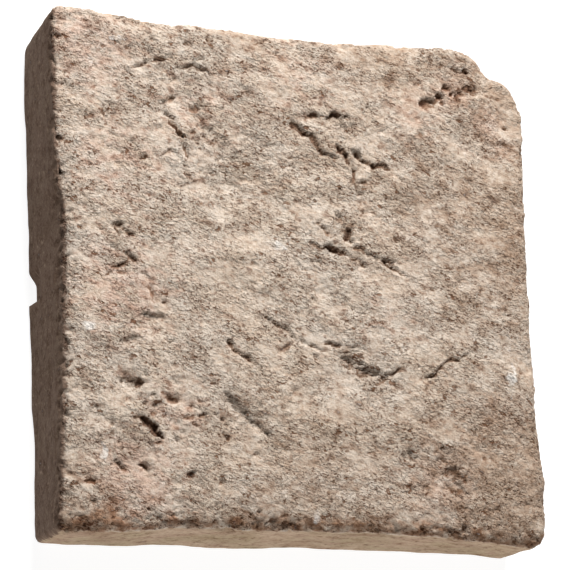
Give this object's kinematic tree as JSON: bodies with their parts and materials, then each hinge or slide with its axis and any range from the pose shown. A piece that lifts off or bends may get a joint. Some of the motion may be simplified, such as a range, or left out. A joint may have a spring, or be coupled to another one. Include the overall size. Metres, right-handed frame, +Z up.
{
  "type": "ancient square clay brick",
  "caption": "Square slab of coarse fired clay with a rough pitted face, straw gouges, worn edges, one broken corner and a flat bed.",
  "frame": {"origin": "middle of the brick's bounding box, on the plane its bed lies on", "axes": "+Z up, out of the rough face; +X and +Y along the two nearly equal sides; the broken corner is at +X, +Y"},
  "size_m": [0.3354, 0.3422, 0.0677],
  "materials": {
    "fired_clay": null
  },
  "bodies": {
    "root": {"brick": "fired_clay"}
  },
  "joints": []
}
